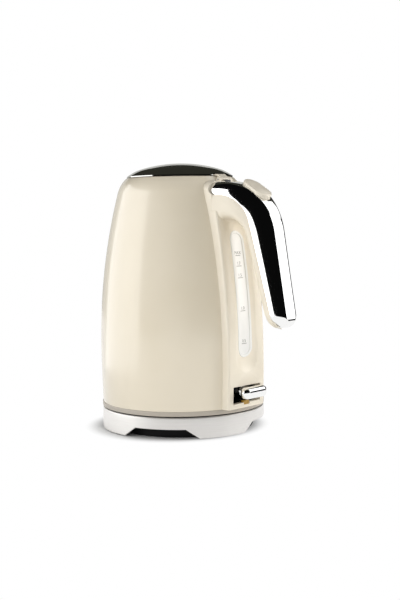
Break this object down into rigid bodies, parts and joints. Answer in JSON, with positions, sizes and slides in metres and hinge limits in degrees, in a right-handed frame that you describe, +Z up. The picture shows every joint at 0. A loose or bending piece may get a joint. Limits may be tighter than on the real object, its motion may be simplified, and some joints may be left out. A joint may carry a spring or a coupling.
{
  "type": "cordless electric kettle on a power base",
  "caption": "Barrel-shaped cordless electric kettle with hinged dome lid, open grip handle, level gauge and rocker switch, standing on a round power base.",
  "frame": {"origin": "centre of the foot ring's underside, on the table under the jug's axis", "axes": "+Z up along the jug's axis, +X towards the handle, +Y to the left when the handle is seen from the front"},
  "size_m": [0.208, 0.1524, 0.244],
  "materials": {
    "satin_steel": "satin brushed",
    "black_plastic": "moulded, fine grain",
    "soft_rubber": "matt",
    "contact_brass": "plain",
    "screw_steel": "plated",
    "beige_plastic": "moulded",
    "cream_enamel": "gloss enamel",
    "cream_plastic": "moulded, gloss",
    "plain_steel": "bead blasted",
    "spreader_aluminium": "cast",
    "grey_plastic": "moulded",
    "polished_steel": "polished",
    "chrome_plate": "bright plated",
    "clear_plastic": "clear moulded",
    "amber_plastic": "clear tinted",
    "seal_silicone": "moulded",
    "white_plastic": "moulded"
  },
  "bodies": {
    "base": {"base_skirt": "satin_steel", "base_deck": "black_plastic", "base_floor": "black_plastic", "foot_ring": "soft_rubber", "cord_gland": "soft_rubber", "base_socket": "black_plastic", "earth_contact": "contact_brass", "live_contact": "contact_brass", "base_screws": "screw_steel"},
    "coupler": {"coupler_plug": "grey_plastic", "coupler_blade": "contact_brass", "coupler_pin": "contact_brass"},
    "jug": {"jug_bottom_cover": "black_plastic", "jug_base_ring": "beige_plastic", "cover_screws": "screw_steel", "jug_shell": "cream_enamel", "heater_plate": "plain_steel", "heat_spreader": "spreader_aluminium", "heating_element": "plain_steel", "control_unit": "grey_plastic", "bimetal_disc_left": "plain_steel", "bimetal_disc_right": "plain_steel", "steam_switch": "grey_plastic", "lever_pin": "screw_steel", "steam_tube": "white_plastic", "mouth_collar": "cream_plastic", "spout": "cream_enamel", "scale_filter": "white_plastic", "handle_cover": "chrome_plate", "handle_liner": "cream_plastic", "handle_housing": "cream_plastic", "hinge_pin": "screw_steel", "housing_screw_left": "screw_steel", "housing_screw_right": "screw_steel", "gauge_window": "clear_plastic", "gauge_gasket": "seal_silicone", "indicator_lens": "amber_plastic", "indicator_lamp": "amber_plastic"},
    "lid": {"lid_dome": "polished_steel", "lid_liner": "cream_plastic", "lid_seal": "seal_silicone"},
    "button": {"lid_button": "cream_plastic"},
    "latch": {"latch_bar": "grey_plastic"},
    "lever": {"switch_lever": "chrome_plate"}
  },
  "joints": [
    {"name": "kettle_lift", "type": "slide", "parent": "base", "child": "coupler", "axis": [0, 0, 1], "range_m": [0, 0.1]},
    {"name": "kettle_swivel", "type": "hinge", "parent": "coupler", "child": "jug", "pos_m": [0, 0, 0.03], "axis": [0, 0, 1], "continuous": true},
    {"name": "lid_hinge", "type": "hinge", "parent": "jug", "child": "lid", "pos_m": [0.05599, 0, 0.2275], "axis": [0, 1, 0], "range_deg": [0, 78]},
    {"name": "button_press", "type": "slide", "parent": "jug", "child": "button", "axis": [-0.515, 0, -0.8572], "range_m": [0, 0.003], "stiffness_N_per_m": 600},
    {"name": "latch_slide", "type": "slide", "parent": "jug", "child": "latch", "axis": [1, 0, 0], "range_m": [0, 0.003]},
    {"name": "lever_press", "type": "hinge", "parent": "jug", "child": "lever", "pos_m": [0.061, 0, 0.0394], "axis": [0, 1, 0], "range_deg": [0, 9]}
  ],
  "couplings": [
    {"joint": "latch_slide", "follows": "button_press", "ratio": 1}
  ]
}
